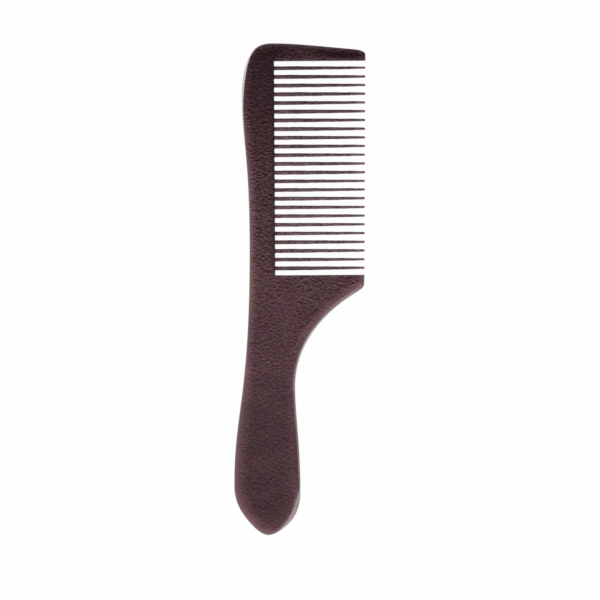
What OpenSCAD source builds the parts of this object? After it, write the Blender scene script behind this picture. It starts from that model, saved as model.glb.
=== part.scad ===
// Wide tooth comb with a handle: one wooden body and a row of teeth let into its spine.
// Millimetres. The comb lies on its back: +Y points to the head, +X to the tooth tips and
// +Z up, and the origin lies under the middle of the outline.

/* [Teeth] */
// Number of teeth
tooth_n = 24; // [20:1:26]
// Distance from one tooth to the next
tooth_pitch = 3.54; // [3.1:0.02:4]
// Gap from the guard or the shoulder to the tooth beside it
end_gap = 2.03; // [1.6:0.01:2.6]
// Width of a tooth at its root, along the spine
tooth_w = 1.56; // [1.3:0.02:1.7]
// Width of a tooth at the start of its rounded tip
tooth_tip_w = 1.04; // [0.7:0.02:1.2]
// Depth of a tooth at its root, through the comb's thickness
tooth_d = 5; // [4.2:0.1:5.6]
// Depth of a tooth at the start of its rounded tip
tooth_tip_d = 2.4; // [1.8:0.1:3]
// Length of the teeth beside the top guard
tooth_len = 37.2; // [32:0.2:42]
// How much shorter the teeth are beside the shoulder
tooth_len_fall = 0.9; // [0:0.1:2]
// Length of a tooth's straight root, before its sides taper
tooth_straight = 8; // [4:0.5:14]
// Length of a tooth's rounded tip
tooth_round = 0.9; // [0.6:0.1:2]

/* [Tenons] */
// Width of the tenon on each tooth's root
tenon_w = 0.9; // [0.7:0.05:1.1]
// Depth of the tenon, through the comb's thickness
tenon_d = 3.4; // [2.8:0.1:4]
// Length of the tenon
tenon_l = 6; // [4:0.5:7]
// Glue gap between a tenon and the sides of its mortise
glue_side = 0.05; // [0.03:0.01:0.1]
// Glue gap between a tenon and the floor of its mortise
glue_end = 0.2; // [0.1:0.05:0.4]

/* [Head] */
// Thickness of the handle and the spine
comb_t = 8; // [7:0.2:10]
// Width of the spine at the waist of its back
spine_w = 10.4; // [9:0.2:13]
// Width of the top guard at the spine
guard_w = 7.3; // [6.6:0.1:9]
// Fall of the top edge from the spine to the guard's rounded corner
guard_fall = 2.5; // [1.5:0.1:3.2]
// Length of the guard's rounded corner along the top edge
guard_round = 5.4; // [3:0.2:6.4]
// How far the back swells out from the waist behind the upper teeth
head_swell = 2.9; // [0:0.1:5]
// Distance from the head down to the fullest point of that swell
swell_drop = 24; // [19:0.5:30]
// Height of the waist above the shoulder
waist_rise = 15.4; // [8:0.2:24]
// Height of the shoulder's end, below the last tooth
shoulder_h = 5.4; // [4:0.2:8]
// Length of the shoulder's rounded corner
shoulder_round = 2.4; // [0.8:0.1:3]
// Distance from the tooth roots to where the guard and the shoulder start to thin
thin_start = 11.2; // [9:0.2:18]
// Thickness of the guard and the shoulder at the tooth tips
guard_tip_t = 4.4; // [3.6:0.2:6]

/* [Handle] */
// Length from the shoulder's corner down to the neck
neck_drop = 40.7; // [34:0.5:48]
// Length from the neck to the handle's end
handle_len = 59.5; // [52:0.5:70]
// Greatest width of the handle
handle_w = 26.9; // [24:0.5:30]
// Height of the handle's fullest point at the back, above its end
back_rise = 19.8; // [18:0.2:26]
// Height of the handle's fullest point at the front, above its end
front_rise = 18.4; // [16:0.2:24]
// How far the neck is cut in from the handle's front
neck_in = 1.9; // [0.5:0.1:4]
// How far the handle's back stands out from the waist
waist_in = 6.8; // [4:0.2:8]
// Height of the corner cut off the back of the handle's end, smoothed into the sides
end_cut_back = 12.8; // [11:0.2:14]
// Width of that cut
end_cut_back_w = 10.3; // [9:0.1:11.5]
// Height of the corner cut off the front of the handle's end
end_cut_front = 9.4; // [8:0.2:11]
// Width of that cut
end_cut_front_w = 9.4; // [8.5:0.1:11]

/* [Edges] */
// Width of the rounding along the edges of both faces
edge_w = 2.6; // [1.6:0.1:3.2]
// Depth of that rounding
edge_h = 2.4; // [1.6:0.1:3]
// Width of the rounding where the guard and the shoulder end
edge_tip_w = 0.8; // [0.5:0.1:1]
// Chamfer of the edges around the tooth window
window_chamfer = 0.6; // [0.3:0.1:1]
// Slant of the side wall at the front of the handle's end
end_slant = 1.5; // [0:0.1:2]
// Height of the middle of that slant above the handle's end
end_slant_rise = 10; // [8:0.5:13]
// Half the length of that slant
end_slant_half = 13; // [8:0.5:14]
// Slant of the side wall at the back of the head
head_slant = 1; // [0:0.1:1.5]
// Distance from the head down to the start of that slant
head_slant_drop = 3; // [2.5:0.5:8]
// Length of that slant, which is fullest in its upper part
head_slant_run = 34; // [20:1:40]
// Width and depth of the rounding along those two slants
slant_edge = 0.7; // [0.5:0.1:1.5]
// Slant of the side wall along the throat under the shoulder
throat_slant = 0.5; // [0:0.1:1]

/* [Hidden] */
window_h = (tooth_n - 1) * tooth_pitch + tooth_w + 2 * end_gap;
comb_w = waist_in + spine_w + tooth_len;
comb_len = guard_w + window_h + shoulder_h + neck_drop + handle_len;

// Lines across the comb, from the handle's end up to the head
end_y = -comb_len / 2;
head_y = comb_len / 2;
guard_y = head_y - guard_w;
shoulder_y = guard_y - window_h;
corner_y = shoulder_y - shoulder_h;
neck_y = corner_y - neck_drop;
back_full_y = end_y + back_rise;
front_full_y = end_y + front_rise;
waist_y = shoulder_y + waist_rise;
swell_y = head_y - swell_drop;

// Lines along the comb, from the back to the tooth tips
back_x = -comb_w / 2;
front_x = back_x + handle_w;
neck_x = front_x - neck_in;
waist_x = back_x + waist_in;
swell_x = waist_x - head_swell;
root_x = waist_x + spine_w;
tip_x = comb_w / 2;
thin_x = root_x + thin_start;
thin_run = tip_x - thin_x;
thin_drop = (comb_t - guard_tip_t) / 2;
function tip_line(y) = tip_x - tooth_len_fall * (guard_y - y) / window_h;

// Where the side wall's slants start, and how long they are
end_slant_y = end_y + end_slant_rise - end_slant_half;
head_slant_y = head_y - head_slant_drop;
throat_run = 1.2 * neck_drop;
throat_slant_y = mix(neck_y, corner_y, 0.5) - throat_run / 2;

// Handles of the outline's curves, as shares of the distance that each curve spans
corner_pull = 0.68;
back_pull = [0.31, 0.65];
swell_pull = [0.6, 0.22];
crown_pull = [0.99, 0.4];
guard_pull = [0.28, 0.3];
throat_pull = [0.1, 0.64];
front_pull = [0.26, 0.48];

// Slope of the guard's end against that of its top edge, and height of the corner's end
guard_slope = 1.15;
guard_end_share = 0.55;

// Power that squares a tooth's section, and share of its depth that its tip keeps
tooth_power = 0.62;
tip_keep = 0.25;

// How far the cuts run past the solids
past = 1;

$fn = 32;
wood = [0.31, 0.22, 0.235];
tooth_wood = [0.35, 0.25, 0.265];

function tooth_name(i) = str("tooth_", i < 10 ? "0" : "", i);
function tooth_y(i) = guard_y - end_gap - tooth_w / 2 - (i - 1) * tooth_pitch;
function clamp01(v) = max(0, min(1, v));
function mix(a, b, f) = a + (b - a) * f;

// Cubic curve from a to d with the handles b and c, as n points without the last one
function curve(a, b, c, d, n) = [for (i = [0:n - 1]) let (t = i / n, s = 1 - t)
    s * s * s * a + 3 * s * s * t * b + 3 * s * t * t * c + t * t * t * d];

// Curve that rounds the corner c between a and b
function round_corner(a, c, b, n) = curve(a, mix(a, c, corner_pull), mix(b, c, corner_pull), b, n);

// Curve that leaves a and reaches b along the comb, with a pair of handles
function sway(a, b, pull, n) =
    let (rise = b.y - a.y) curve(a, a + [0, pull[0] * rise], b - [0, pull[1] * rise], b, n);

// Outline of the comb without its tooth window: up the back from the handle's end to the
// head, then down the front, with as many points on the one side as on the other
function outline() = let (
    cut_b = [back_x, end_y + end_cut_back],
    foot_b = [back_x + end_cut_back_w, end_y],
    cut_f = [front_x, end_y + end_cut_front],
    foot_f = [front_x - end_cut_front_w, end_y],
    nose = mix(foot_b, foot_f, 0.5),
    mid_b = mix(cut_b, foot_b, 0.5),
    mid_f = mix(cut_f, foot_f, 0.5),
    back_full = [back_x, back_full_y],
    front_full = [front_x, front_full_y],
    waist = [waist_x, waist_y],
    swell = [swell_x, swell_y],
    crown = [root_x, head_y],
    swell_top = mix(swell, [swell_x, head_y], crown_pull[0]),
    crown_back = mix(crown, [swell_x, head_y], crown_pull[1]),
    guard_top = [tip_x - guard_round, head_y - guard_fall],
    top_run = guard_top.x - crown.x,
    guard_tilt = [1, -guard_slope * guard_fall / top_run],
    crown_front = crown + [guard_pull[0] * top_run, 0],
    guard_back = guard_top - guard_pull[1] * top_run * guard_tilt,
    guard_corner = guard_top + guard_round * guard_tilt,
    guard_end = [tip_x, mix(guard_y, guard_corner.y, guard_end_share)],
    corner = [tip_line(corner_y), corner_y],
    neck = [neck_x, neck_y],
    throat = [neck_x, mix(neck_y, corner_y, throat_pull[1])],
    corner_side = (throat - corner) / norm(throat - corner),
    shoulder_end = corner + [0, shoulder_round],
    throat_start = corner + shoulder_round * corner_side
) concat(
    round_corner(nose, foot_b, mid_b, 6),
    round_corner(mid_b, cut_b, back_full, 6),
    sway(back_full, waist, back_pull, 22),
    sway(waist, swell, swell_pull, 12),
    curve(swell, swell_top, crown_back, crown, 18),
    curve(crown, crown_front, guard_back, guard_top, 10),
    round_corner(guard_top, guard_corner, guard_end, 7),
    [guard_end, [tip_x, guard_y]],
    round_corner(shoulder_end, corner, throat_start, 6),
    curve(throat_start, mix(throat_start, throat, throat_pull[0]), throat, neck, 18),
    sway(neck, front_full, front_pull, 9),
    round_corner(front_full, cut_f, mid_f, 6),
    round_corner(mid_f, foot_f, nose, 6)
);

// Outward direction at point i of a closed outline that runs clockwise
function outward(pts, i) = let (
    n = len(pts),
    run = pts[(i + 1) % n] - pts[(i + n - 1) % n]
) [-run.y, run.x] / norm(run);

// Slants of the side wall at a point of the outline: the broad ones at the handle's end and
// the head, and the slight one along the throat
function swelling(f) = pow(sin(180 * clamp01(f)), 2);
function broad_slant(p, dir) =
    p.y < neck_y && dir.x > 0 ?
        end_slant * swelling((p.y - end_slant_y) / (2 * end_slant_half)) * clamp01(2 * dir.x) :
    p.y > waist_y && dir.x < 0 ?
        head_slant * swelling(sqrt(max(0, head_slant_y - p.y) / head_slant_run)) :
    0;
function slant_at(p, dir) = broad_slant(p, dir) + (p.y < corner_y && dir.x > 0 ?
    throat_slant * swelling((p.y - throat_slant_y) / throat_run) : 0);

// Width and depth of the edge rounding: it narrows towards the tooth tips, and it is small
// along the broad slants
function edge_at(p, dir) = mix(
    [mix(edge_w, edge_tip_w, clamp01((p.x - thin_x) / thin_run)), edge_h],
    [slant_edge, slant_edge],
    clamp01(2 * broad_slant(p, dir))
);

// Steps of the edge profile from the back face up to the front face: shares of the edge
// rounding's width and depth, and share of the slant, which is also that of the thickness
edge_steps = 5;
edge_profile = concat(
    [for (k = [0:edge_steps]) let (a = 90 * k / edge_steps) [1 - sin(a), 1 - cos(a), 0]],
    [for (k = [0:edge_steps]) let (a = 90 * k / edge_steps) [1 - cos(a), sin(a) - 1, 1]]
);

// Slab with the comb's outline and rounded edges on both faces
module rounded_slab() {
    pts = outline();
    n = len(pts);
    half = n / 2;
    rings = len(edge_profile);
    dirs = [for (i = [0:n - 1]) outward(pts, i)];
    edges = [for (i = [0:n - 1]) edge_at(pts[i], dirs[i])];
    slants = [for (i = [0:n - 1]) slant_at(pts[i], dirs[i])];
    skin = [for (s = edge_profile) for (i = [0:n - 1])
        let (p = pts[i] - dirs[i] * (s[0] * edges[i][0] + s[2] * slants[i]))
        [p.x, p.y, s[1] * edges[i][1] + s[2] * comb_t]];
    sides = [for (k = [0:rings - 2]) for (i = [0:n - 1])
        let (a = k * n + i, b = k * n + (i + 1) % n)
        each [[a, b, b + n], [a, b + n, a + n]]];
    strips = concat(
        [[0, 1, n - 1]],
        [for (i = [1:half - 2]) each [[i, i + 1, n - i - 1], [i, n - i - 1, n - i]]],
        [[half - 1, half, half + 1]]
    );
    top = [for (f = strips) [for (v = f) v + (rings - 1) * n]];
    bottom = [for (f = strips) [for (k = [len(f) - 1:-1:0]) f[k]]];
    polyhedron(skin, concat(sides, top, bottom));
}

// Section of a tenon or mortise: a slot with round ends, w wide and d deep
module slot(w, d) {
    square([w, d - w], center = true);
    for (s = [-1, 1])
        translate([0, s * (d - w) / 2])
            circle(d = w);
}

// Bar of that section along +X from x, at tooth i
module slot_bar(i, x, length, w, d) {
    translate([x, tooth_y(i), comb_t / 2])
        rotate([90, 0, 90])
            linear_extrude(length)
                slot(w, d);
}

// Wedges that thin the guard and the shoulder towards the tooth tips, from both faces
module thinning() {
    for (side = [-1, 1])
        translate([0, head_y + past, comb_t / 2])
            rotate([90, 0, 0])
                linear_extrude(comb_len + 2 * past)
                    polygon([
                        [thin_x - thin_run, side * (comb_t / 2 + thin_drop)],
                        [tip_x + thin_run, side * (comb_t / 2 - 2 * thin_drop)],
                        [tip_x + thin_run, side * (comb_t / 2 + thin_drop)]
                    ]);
}

// Flared mouth of the tooth window at one face, which chamfers the edges of the spine, the
// guard and the shoulder and follows their thinning; it starts inside the opening by inset
module window_mouth(inset = 0.5) {
    low = -window_chamfer - inset;
    out = window_chamfer + inset;
    end_x = tip_x + thin_run;
    function face_z(x) = -thin_drop * max(0, x - thin_x) / thin_run;
    function station(x, out, z) = [for (y = [shoulder_y - out, guard_y + out]) [x, y, face_z(x) + z]];
    polyhedron(
        concat(
            station(root_x + inset, -inset, low),
            station(thin_x, -inset, low),
            station(end_x, -inset, low),
            station(root_x - out, out, inset),
            station(thin_x, out, inset),
            station(end_x, out, inset)
        ),
        [
            [0, 2, 3, 1], [2, 4, 5, 3],
            [6, 7, 9, 8], [8, 9, 11, 10],
            [0, 1, 7, 6], [4, 10, 11, 5],
            [0, 6, 8, 2], [2, 8, 10, 4],
            [1, 3, 9, 7], [3, 5, 11, 9]
        ]
    );
}

// Opening that the teeth stand in
module tooth_window() {
    translate([root_x, shoulder_y, -past])
        cube([comb_w, window_h, comb_t + 2 * past]);
    translate([0, 0, comb_t])
        window_mouth();
    mirror([0, 0, 1])
        window_mouth();
}

// Handle, spine, top guard and shoulder in one piece, with a mortise for each tooth
module comb_body() {
    depth = tenon_l + glue_end;
    color(wood)
        difference() {
            rounded_slab();
            tooth_window();
            thinning();
            for (i = [1:tooth_n])
                slot_bar(i, root_x - depth, depth + past, tenon_w + 2 * glue_side, tenon_d + 2 * glue_side);
        }
}

// Rings of a tooth: place along its length, half width and half depth
function tooth_rings(length) = let (
    taper = length - tooth_round
) concat(
    [[0, tooth_w / 2, tooth_d / 2]],
    [[tooth_straight, tooth_w / 2, mix(tooth_d, tooth_tip_d, tooth_straight / taper) / 2]],
    [for (a = [0, 35, 62, 82]) let (s = cos(a))
        [taper + tooth_round * sin(a), tooth_tip_w / 2 * s, tooth_tip_d / 2 * mix(s, 1, tip_keep)]]
);

// Blade of a tooth along +X: a softly squared section, tapered and rounded at its tip
module blade(length) {
    sides = 16;
    rings = tooth_rings(length);
    last = len(rings) - 1;
    function squared(v) = sign(v) * pow(abs(v), tooth_power);
    skin = [for (r = rings) for (j = [0:sides - 1]) let (a = 360 * (j + 0.5) / sides)
        [r[0], r[1] * squared(cos(a)), r[2] * squared(sin(a))]];
    walls = [for (k = [0:last - 1]) for (j = [0:sides - 1])
        let (a = k * sides + j, b = k * sides + (j + 1) % sides)
        each [[a, b + sides, b], [a, a + sides, b + sides]]];
    root = [[for (j = [0:sides - 1]) j]];
    tip = [[for (j = [sides - 1:-1:0]) last * sides + j]];
    polyhedron(skin, concat(walls, root, tip));
}

// Tooth i, counted from the top guard, seated on the spine with its tenon in the mortise
module tooth(i) {
    color(tooth_wood) {
        translate([root_x, tooth_y(i), comb_t / 2])
            blade(tip_line(tooth_y(i)) - root_x);
        slot_bar(i, root_x - tenon_l, tenon_l + tooth_round, tenon_w, tenon_d);
    }
}

comb_body();
for (i = [1:tooth_n])
    tooth(i);
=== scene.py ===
"""Looks of a wide tooth comb: a dark wooden body with 24 teeth let into its spine.

The body and the teeth are rebuilt as fine smooth meshes on the same lines as the CAD solids.
Lengths are millimetres until a mesh is made. The comb lies on its back, +Y towards the head
and +X towards the tooth tips.
"""

import math
import random

import bpy
import numpy as np
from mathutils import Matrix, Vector
from mathutils.geometry import delaunay_2d_cdt


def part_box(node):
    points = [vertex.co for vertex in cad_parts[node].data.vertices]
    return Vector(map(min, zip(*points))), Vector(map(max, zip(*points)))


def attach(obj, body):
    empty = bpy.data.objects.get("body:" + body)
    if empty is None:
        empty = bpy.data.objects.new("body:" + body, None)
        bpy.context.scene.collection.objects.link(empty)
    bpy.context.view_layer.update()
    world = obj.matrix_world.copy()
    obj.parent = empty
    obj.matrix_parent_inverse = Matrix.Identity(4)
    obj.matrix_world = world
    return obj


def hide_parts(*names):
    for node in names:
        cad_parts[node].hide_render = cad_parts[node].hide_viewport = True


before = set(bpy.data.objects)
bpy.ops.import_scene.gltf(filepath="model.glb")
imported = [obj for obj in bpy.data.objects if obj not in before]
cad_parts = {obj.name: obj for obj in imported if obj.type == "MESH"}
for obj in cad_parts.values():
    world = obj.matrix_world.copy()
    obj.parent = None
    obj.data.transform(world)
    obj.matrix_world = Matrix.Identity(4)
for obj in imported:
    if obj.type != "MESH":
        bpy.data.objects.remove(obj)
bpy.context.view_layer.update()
MM = 0.001

# Sizes, the same as in the CAD model
TOOTH_N = 24
TOOTH_PITCH = 3.54
END_GAP = 2.03
TOOTH_W = 1.56
TOOTH_TIP_W = 1.04
TOOTH_D = 5.0
TOOTH_TIP_D = 2.4
TOOTH_LEN = 37.2
TOOTH_LEN_FALL = 0.9
TOOTH_STRAIGHT = 8.0
TOOTH_ROUND = 0.9
TENON_W = 0.9
TENON_D = 3.4
TENON_L = 6.0
GLUE_SIDE = 0.05
GLUE_END = 0.2
COMB_T = 8.0
SPINE_W = 10.4
GUARD_W = 7.3
GUARD_FALL = 2.5
GUARD_ROUND = 5.4
HEAD_SWELL = 2.9
SWELL_DROP = 24.0
WAIST_RISE = 15.4
SHOULDER_H = 5.4
THIN_START = 11.2
GUARD_TIP_T = 4.4
NECK_DROP = 40.7
HANDLE_LEN = 59.5
HANDLE_W = 26.9
BACK_RISE = 19.8
FRONT_RISE = 18.4
NECK_IN = 1.9
WAIST_IN = 6.8
END_CUT_BACK = 12.8
END_CUT_BACK_W = 10.3
END_CUT_FRONT = 9.4
END_CUT_FRONT_W = 9.4
EDGE_W = 2.6
EDGE_H = 2.4
EDGE_TIP_W = 0.8
WINDOW_EDGE = 0.6
END_SLANT = 1.5
END_SLANT_RISE = 10.0
END_SLANT_HALF = 13.0
SLANT_EDGE = 0.7
THROAT_SLANT = 0.5
THROAT_SPAN = 1.2

# Sizes that differ a little from the CAD model: a crisper shoulder corner, a longer and flatter
# lean of the wall at the head, and a softer edge on the leaning wall at the handle's end
SHOULDER_ROUND = 1.4
CORNER_LIFT = 0.58
CORNER_INSET = 0.13
CORNER_AIM = 9.0
THROAT_PULL = (0.118, 0.645)
HEAD_SLANT = 0.88
HEAD_SLANT_DROP = 2.0
HEAD_SLANT_RUN = 46.0
END_SLANT_EDGE = 1.5

# Lines across and along the comb
WINDOW_H = (TOOTH_N - 1) * TOOTH_PITCH + TOOTH_W + 2 * END_GAP
COMB_W = WAIST_IN + SPINE_W + TOOTH_LEN
COMB_LEN = GUARD_W + WINDOW_H + SHOULDER_H + NECK_DROP + HANDLE_LEN
END_Y = -COMB_LEN / 2
HEAD_Y = COMB_LEN / 2
GUARD_Y = HEAD_Y - GUARD_W
SHOULDER_Y = GUARD_Y - WINDOW_H
CORNER_Y = SHOULDER_Y - SHOULDER_H
NECK_Y = CORNER_Y - NECK_DROP
BACK_FULL_Y = END_Y + BACK_RISE
FRONT_FULL_Y = END_Y + FRONT_RISE
WAIST_Y = SHOULDER_Y + WAIST_RISE
SWELL_Y = HEAD_Y - SWELL_DROP
BACK_X = -COMB_W / 2
FRONT_X = BACK_X + HANDLE_W
NECK_X = FRONT_X - NECK_IN
WAIST_X = BACK_X + WAIST_IN
SWELL_X = WAIST_X - HEAD_SWELL
ROOT_X = WAIST_X + SPINE_W
TIP_X = COMB_W / 2
THIN_X = ROOT_X + THIN_START
THIN_RUN = TIP_X - THIN_X
THIN_DROP = (COMB_T - GUARD_TIP_T) / 2
END_SLANT_Y = END_Y + END_SLANT_RISE - END_SLANT_HALF
HEAD_SLANT_Y = HEAD_Y - HEAD_SLANT_DROP
THROAT_RUN = THROAT_SPAN * NECK_DROP
THROAT_SLANT_Y = (NECK_Y + CORNER_Y - THROAT_RUN) / 2

# Handles of the outline's curves, as shares of the distance that each curve spans
CORNER_PULL = 0.68
BACK_PULL = (0.31, 0.65)
SWELL_PULL = (0.6, 0.22)
CROWN_PULL = (0.99, 0.4)
GUARD_PULL = (0.28, 0.3)
FRONT_PULL = (0.26, 0.48)
GUARD_SLOPE = 1.15
GUARD_END_SHARE = 0.55

# Count of points on each stretch of the outline
END_N = 22
CUT_N = 24
BACK_N = 100
SWELL_N = 56
CROWN_N = 60
GUARD_N = 44
TIP_N = 22
LIP_N = 8
BEND_N = 8
LEDGE_N = 60
SPINE_N = 120
SHOULDER_N = 10
CORNER_N = 16
THROAT_N = 80
FRONT_N = 64

# Edges of the body
CORNER_R = 0.4
EDGE_TIP_H = 0.9
EDGE_STEPS = 9
EASE_POINTS = 15
THIN_BLEND = 3.0
FACING_GAIN = 2.0
CRISP_GAIN = 2.0
HEAD_FACING = 0.01
# Edge width at the two corners of the tooth window, its limit further off, and where that rises
CORNER_EDGE = (0.22, 4.0)
CORNER_NEAR = 0.6
CORNER_RUN = 8.5

# Meshing: lattice on the flat faces, sides of a mortise, and modes of the triangulation
FACE_STEP = 1.1
FACE_MARGIN = 0.5
MORTISE_SIDES = 16
MERGE_GAP = 1e-7
FILL_HULL = 0
FILL_INSIDE = 1
CHUNKS = 16

# Teeth, each a little uneven: waves are two counts of radians per millimetre and a share
TOOTH_SEED = 100
TOOTH_SIDES = 32
SQUARENESS = 0.62
BOW = 0.07
BOW_EASE = 0.3
GIRTH = (0.955, 1.125)
ROOT_GIRTH = 1.04
GIRTH_RUN = 3.0
RIPPLE = (0.010, 0.026)
RIPPLE_WAVES = (0.9, 2.3, 0.7)
WANDER = 0.022
WANDER_WAVES = (0.55, 1.7, 0.6)
WAVE_PHASES = 4
FREE_RUN = 6.0
CALM_RUN = 3.0
FLARE = 0.12
FLARE_RUN = 0.6
TIP_NARROW = 0.93
TIP_RUN = 5.0
TIP_BLUNT = 3
ROOT_STATIONS = [0.0, 0.06, 0.14, 0.24, 0.38, 0.6]
BLADE_START = 1.2
BLADE_STATIONS = 40
DOME_STATIONS = (0.25, 0.5, 0.68, 0.8, 0.88, 0.94, 0.975, 0.995)

# Painted edge light: edges painted paler where their rounding catches the side light, more where
# they face left and down and less towards the head, with a paler painted band along the throat.
# A pair is the start and the run of a smooth rise, and a triple is the strength, the start and the
# run of a smooth hump.
EDGE_LIT_LEAST = 0.9
EDGE_LIT_FACING = 0.1
EDGE_LIT_LOW = 1.3
EDGE_LIT_UP = 0.7
HEAD_EDGE_LIT = 0.05
HEAD_EDGE_LIT_AT = (40.0, 95.0)
HANDLE_EDGE_LIT = 1.2
HANDLE_EDGE_LIT_AT = (-45.0, -40.0)
BACK_DIPS = ((0.3, -36.0, 22.0), (0.22, 37.0, 30.0))
FRONT_HUMP = (0.2, -52.0, 34.0)
EDGE_LIGHT_W = 4.2
FRONT_EDGE_LIGHT_W = 3.4
FRONT_EDGE_LIGHT_AT = (-0.5, 1.0)
WIDE_EDGE_LIGHT = 1.45
WIDE_EDGE_LIGHT_AT = (-20.0, -40.0)
FRONT_SPREAD = 0.5
FRONT_SPREAD_AT = (-55.0, -15.0)
TOP_EDGE_LIGHT = 0.5
TOP_EDGE_LIGHT_W = 2.4
TOP_EDGE_LIGHT_AT = (0.2, 0.5)
THROAT_RISE = 1.25
BAND_W = 4.4
BAND_FADE = 2.2
BAND_GAIN = 1.4

# Painted highlights (gleams): in the throat, on the shoulder's tip, at the neck, on the walls that
# lean in
GLEAM_W = 1.6
GLEAM_FADE = 0.3
GLEAM_AT = (0.45, 0.5)
GLEAM_NARROW = 0.35
GLEAM_NARROW_AT = (0.88, 0.12)
GLEAM_DIM = 0.2
GLEAM_DIM_AT = (0.92, 0.08)
TIP_GLEAM = 0.45
TIP_GLEAM_W = 2.6
TIP_FACING = 0.5
TIP_MARGIN = 1.0
TIP_RISE = 2.0
RIM_W = 0.95
RIM_FADE = 0.45
RIM_GAIN = 0.2
RIM_GAIN_AT = (-52.0, 15.0)
NECK_START = (-20.0, -12.0)
NECK_STOP = (-72.0, -12.0)
END_GLEAM = 0.76
END_GLEAM_W = 2.7
END_GLEAM_FADE = 1.35
END_GLEAM_NARROW = 0.8
END_GLEAM_NARROW_AT = (-93.0, -4.0)
END_LEAN_GAIN = 1.6
STRIP_GLEAM = 0.9
STRIP_MARGIN = 0.15
STRIP_FADE = 0.25

# Colours of the wood, some of which also serve as painted edge light, painted sheen, painted
# highlights and painted shade
BASE = (0.0955, 0.0475, 0.0555, 1.0)
DARK = (0.0225, 0.0080, 0.0105, 1.0)
PALE = (0.208, 0.106, 0.115, 1.0)
# Greyish painted sheen on the rounded edges
EDGE_SHEEN = (0.165, 0.115, 0.122, 1.0)
# Painted highlights
GLEAM = (0.350, 0.255, 0.263, 1.0)
WARM_GLEAM = (0.352, 0.225, 0.238, 1.0)
TOOTH_PALE = (0.208, 0.135, 0.144, 1.0)
ROOT_PALE = (0.210, 0.114, 0.126, 1.0)
TIP_PALE = (0.218, 0.152, 0.161, 1.0)
STREAK = (0.011, 0.003, 0.0045, 1.0)
SLATE = (0.0220, 0.0145, 0.0180, 1.0)

# Ramps of the teeth's tone: two places and the strength at each, which is 0 and 1 if not given.
# The first two run along the comb and are painted shade, darker towards the head and paler away
# from it; the next two run along a tooth, the last towards its flanks.
TOOTH_PAINTED_SHADE_Y = (15.0, 100.0, 0.0, 0.26)
TOOTH_PAINTED_LIGHT_Y = (88.0, 32.0, 0.23, 0.575)
TOOTH_ROOT_PALE = (0.2, 0.05, 0.0, 0.65)
TOOTH_TIP_PALE = (0.76, 1.0, 0.0, 0.8)
TOOTH_RIM_PALE = (0.6, 1.0, 0.0, 0.15)

# Ramps of the body's tone, along x, along y or from the face up to the wall
# Painted shade: darker towards the head, and from the middle up
HEAD_PAINTED_SHADE_Y = (15.0, 100.0, 0.0, 0.84)
HANDLE_SLATE_Y = (-26.0, -56.0, 0.0, 0.34)
BELT_Y = -72.0
BELT_PALE = (8.0, 2.0, 0.0, 0.06)
SHADE_Y = -20.0
SHADE_DARK = (8.0, 1.0, 0.0, 0.12)
SHADE_X = (-3.0, -9.0)
MIDDLE_PAINTED_SHADE_Y = (-2.0, 14.0, 0.0, 0.10)
GUARD_PALE_Y = (GUARD_Y - 2.0, GUARD_Y + 1.0)
GUARD_PALE_X = (-10.0, -2.0, 0.0, 0.085)
# Painted edge light: paler on the rounding, with a greyish painted sheen nearer the wall
EDGE_LIGHT_PALE_SIDE = (0.0, 0.5, 0.6, 0.5)
EDGE_SHEEN_SIDE = (0.3, 0.65, 0.0, 0.6)
# Painted highlights: warmer in the throat and at the handle's end
WARM_START_Y = (-4.0, -14.0)
WARM_STOP_Y = (-50.0, -38.0)
WARM_END_Y = (-76.0, -86.0)
GLEAM_SHARE = 0.9
# Painted highlights along the window's edges, on the guard and on the shoulder, fading out at the
# roots
LIP_TOP_Y = (GUARD_Y + 2.0, GUARD_Y + 0.5)
LIP_FOOT_Y = (GUARD_Y - 0.3, GUARD_Y)
LIP_PALE_X = (ROOT_X, ROOT_X + 4.0, 0.0, 0.2)
LEDGE_FOOT_Y = (SHOULDER_Y - 1.4, SHOULDER_Y - 0.5)
LEDGE_TOP_Y = (SHOULDER_Y + 0.3, SHOULDER_Y)
LEDGE_PALE_X = (ROOT_X, ROOT_X + 4.0, 0.0, 0.25)
# Painted shade on the spine beside the tooth roots, from the shoulder up
ROOT_SHADE_START_X = (ROOT_X - 2.6, ROOT_X - 0.3)
ROOT_SHADE_STOP_X = (ROOT_X + 0.6, ROOT_X + 0.2)
ROOT_SHADE_Y = (SHOULDER_Y - 1.0, SHOULDER_Y + 2.0)
ROOT_SHADE_DARK = 0.34

# Dark streaks on the head: slope and height of the line, half width, ends along x, strength
STREAKS = (
    (-0.19, 97.95, 1.6, 3.5, 16.5, 0.75),
    (-0.07, 96.3, 2.3, 9.5, 26.5, 0.82),
    (0.3, 99.2, 2.0, -19.5, -3.5, 0.55),
)
STREAK_CORE = 0.3
STREAK_IN = 5.0
STREAK_OUT = 4.0

# Grain: short strokes, specks, slow sway, mottling and drift of the tint, in cells per millimetre
GRAIN = (0.62, 1.5, 1.5)
GRAIN_SHIFT = (0.0, 0.74, 0.0)
SPECKS = (1.1, 1.1, 1.1)
SPECK_SHARE = 0.9
SWAY = (0.14, 0.14, 0.14)
SWAY_LIFT = 1.5
MOTTLE = (0.06, 0.11, 0.11)
MOTTLE_DARK = (0.35, 0.68, 0.0, 0.2)
DRIFT = (0.2, 0.2, 0.2)
DRIFT_DETAIL = 1.0
DRIFT_TINT = (0.04, -0.20, 0.15)
NOISE_DETAIL = 2.0
NOISE_ROUGHNESS = 0.5
NOISE_MEAN = 0.5
# Swing of red, green and blue between dark and light flanks, larger in green and blue so that the
# light flanks turn greyer as painted glints, and the least that is left of each
SWING = (2.3, 3.35, 3.2)
LEAST = (0.15, 0.15, 0.15)
PLAIN = (1.0, 1.0, 1.0)

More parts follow.
